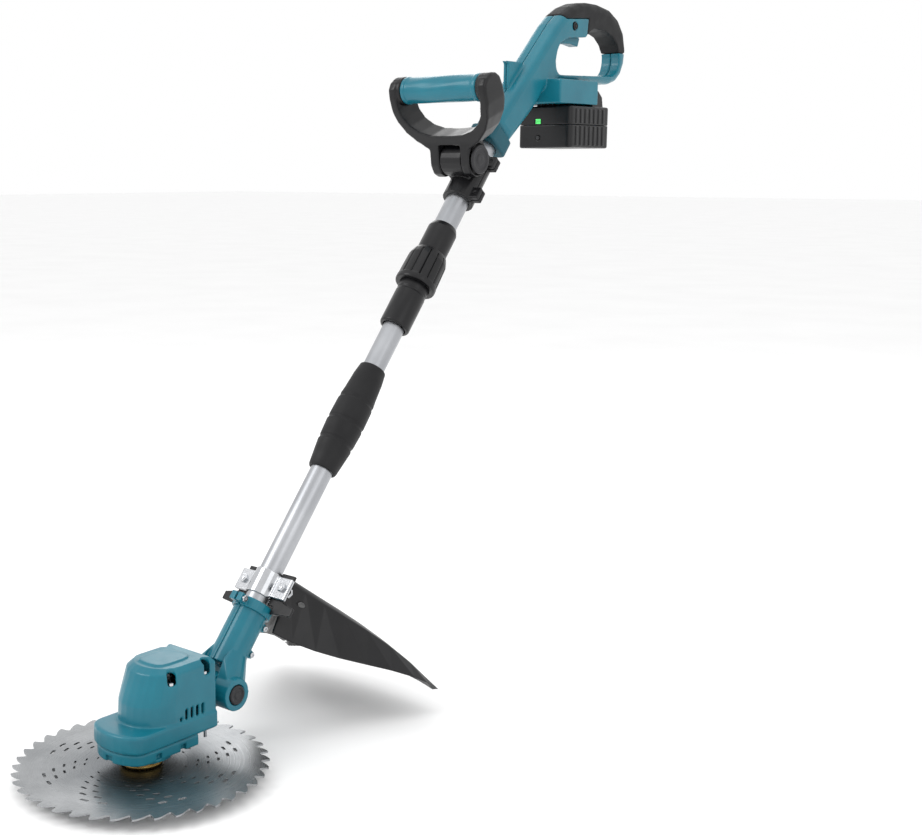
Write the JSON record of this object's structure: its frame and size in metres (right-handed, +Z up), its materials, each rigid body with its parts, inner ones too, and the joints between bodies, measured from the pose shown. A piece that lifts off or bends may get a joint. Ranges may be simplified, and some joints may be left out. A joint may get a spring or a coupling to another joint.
{
  "type": "lawn edger",
  "caption": "Pole-mounted cordless edger: flat toothed disc under a tilting motor head, telescoping pole, carry handle and rear loop grip over a slide-on battery.",
  "frame": {"origin": "centre of the lower face of the blade bolt, on the spindle axis", "axes": "+Z up along the spindle axis, +Y back towards the user along the ground, +X across the tool to the button side"},
  "size_m": [0.255, 0.9985, 0.8065],
  "materials": {
    "teal_plastic": "moulded, satin",
    "dark_teal_plastic": "moulded, satin",
    "black_plastic": "moulded, fine texture",
    "soft_grip": "overmoulded, soft touch",
    "grey_plastic": "moulded",
    "tube_aluminium": "anodised, satin",
    "bright_steel": "plated",
    "blade_steel": "ground",
    "inner_steel": "machined",
    "flange_brass": "turned",
    "copper_rotor": "wound",
    "gauge_green": "lit bars behind a clear lens",
    "cell_wrap": "shrink wrap"
  },
  "bodies": {
    "rear_unit": {"upper_tube": "tube_aluminium", "collar_body": "black_plastic", "upper_lead": "black_plastic", "tube_collar": "dark_teal_plastic", "handle_clamp_front": "black_plastic", "handle_clamp_rear": "black_plastic", "housing_right": "teal_plastic", "housing_left": "teal_plastic", "handle_cover": "soft_grip", "trigger_switch": "black_plastic", "terminal_block": "black_plastic"},
    "twist_nut_body": {"twist_nut": "black_plastic"},
    "carry_handle": {"d_handle_frame": "black_plastic", "d_handle_grip": "teal_plastic", "d_handle_bolt": "bright_steel"},
    "handle_button": {"ratchet_button": "grey_plastic"},
    "trigger_body": {"trigger": "teal_plastic"},
    "lock_off": {"lock_off_button": "black_plastic"},
    "battery": {"battery_case": "black_plastic", "battery_lid": "black_plastic", "gauge_lens": "gauge_green", "cell_pack": "cell_wrap"},
    "release_catch": {"battery_release": "grey_plastic"},
    "check_button": {"gauge_button": "grey_plastic"},
    "lower_pole": {"arm_shell_right": "teal_plastic", "arm_shell_left": "teal_plastic", "arm_screw_1": "bright_steel", "arm_screw_2": "bright_steel", "pivot_pin": "inner_steel", "pivot_cap_left": "grey_plastic", "arm_clamp_ring": "teal_plastic", "arm_clamp_screw": "bright_steel", "lower_tube": "tube_aluminium", "guide_bush": "black_plastic", "lower_lead": "black_plastic", "guard_clamp_front": "bright_steel", "guard_clamp_rear": "bright_steel", "guard_bolt_right": "bright_steel", "guard_bolt_left": "bright_steel", "guard": "black_plastic"},
    "sliding_sleeve": {"grip_sleeve": "soft_grip"},
    "knuckle_button": {"pivot_button": "grey_plastic"},
    "motor_head": {"motor_cover": "teal_plastic", "gearcase_base": "teal_plastic", "spindle_bearing_lower": "inner_steel", "spindle_bearing_upper": "inner_steel", "motor_plate": "inner_steel", "motor_can": "inner_steel", "cover_screw_1": "bright_steel", "cover_screw_2": "bright_steel", "cover_screw_3": "bright_steel", "cover_screw_4": "bright_steel"},
    "blade_spindle": {"blade": "blade_steel", "blade_bolt": "bright_steel", "outer_flange": "inner_steel", "inner_flange": "flange_brass", "spindle_shaft": "inner_steel", "driven_gear": "inner_steel"},
    "motor_rotor": {"rotor": "copper_rotor", "pinion_gear": "flange_brass"}
  },
  "joints": [
    {"name": "pole_telescope", "type": "slide", "parent": "rear_unit", "child": "lower_pole", "axis": [0, 0.6428, 0.766], "range_m": [0, 0.12]},
    {"name": "sleeve_slide", "type": "slide", "parent": "lower_pole", "child": "sliding_sleeve", "axis": [0, 0.6428, 0.766], "range_m": [-0.11, 0]},
    {"name": "twist_nut_turn", "type": "hinge", "parent": "rear_unit", "child": "twist_nut_body", "pos_m": [0, 0.44422, 0.47643], "axis": [0, 0.6428, 0.766], "range_deg": [0, 120]},
    {"name": "carry_handle_tilt", "type": "hinge", "parent": "rear_unit", "child": "carry_handle", "pos_m": [0, 0.51316, 0.60526], "axis": [1, 0, 0], "range_deg": [-45, 60]},
    {"name": "handle_button_press", "type": "slide", "parent": "carry_handle", "child": "handle_button", "axis": [-1, 0, 0], "range_m": [0, 0.004], "stiffness_N_per_m": 900},
    {"name": "trigger_pull", "type": "hinge", "parent": "rear_unit", "child": "trigger_body", "pos_m": [0, 0.717, 0.765], "axis": [1, 0, 0], "range_deg": [0, 12], "stiffness_Nm_per_rad": 0.9},
    {"name": "lock_off_press", "type": "slide", "parent": "rear_unit", "child": "lock_off", "axis": [-1, 0, 0], "range_m": [0, 0.004], "stiffness_N_per_m": 500},
    {"name": "battery_slide", "type": "slide", "parent": "rear_unit", "child": "battery", "axis": [0, 1, 0], "range_m": [0, 0.1]},
    {"name": "battery_release_press", "type": "slide", "parent": "battery", "child": "release_catch", "axis": [0, 0, -1], "range_m": [0, 0.003], "stiffness_N_per_m": 500},
    {"name": "check_button_press", "type": "slide", "parent": "battery", "child": "check_button", "axis": [0, 1, 0], "range_m": [0, 0.001], "stiffness_N_per_m": 400},
    {"name": "head_tilt", "type": "hinge", "parent": "lower_pole", "child": "motor_head", "pos_m": [0, 0.0984, 0.0643], "axis": [1, 0, 0], "range_deg": [-40, 50]},
    {"name": "knuckle_button_press", "type": "slide", "parent": "lower_pole", "child": "knuckle_button", "axis": [-1, 0, 0], "range_m": [0, 0.004], "stiffness_N_per_m": 600},
    {"name": "blade_spin", "type": "hinge", "parent": "motor_head", "child": "blade_spindle", "pos_m": [0, 0, 0.0125], "axis": [0, 0, 1], "continuous": true},
    {"name": "rotor_spin", "type": "hinge", "parent": "motor_head", "child": "motor_rotor", "pos_m": [0, 0.03, 0.08], "axis": [0, 0, 1], "continuous": true}
  ],
  "couplings": [
    {"joint": "sleeve_slide", "follows": "pole_telescope", "ratio": -0.9166},
    {"joint": "rotor_spin", "follows": "blade_spin", "ratio": -3}
  ]
}
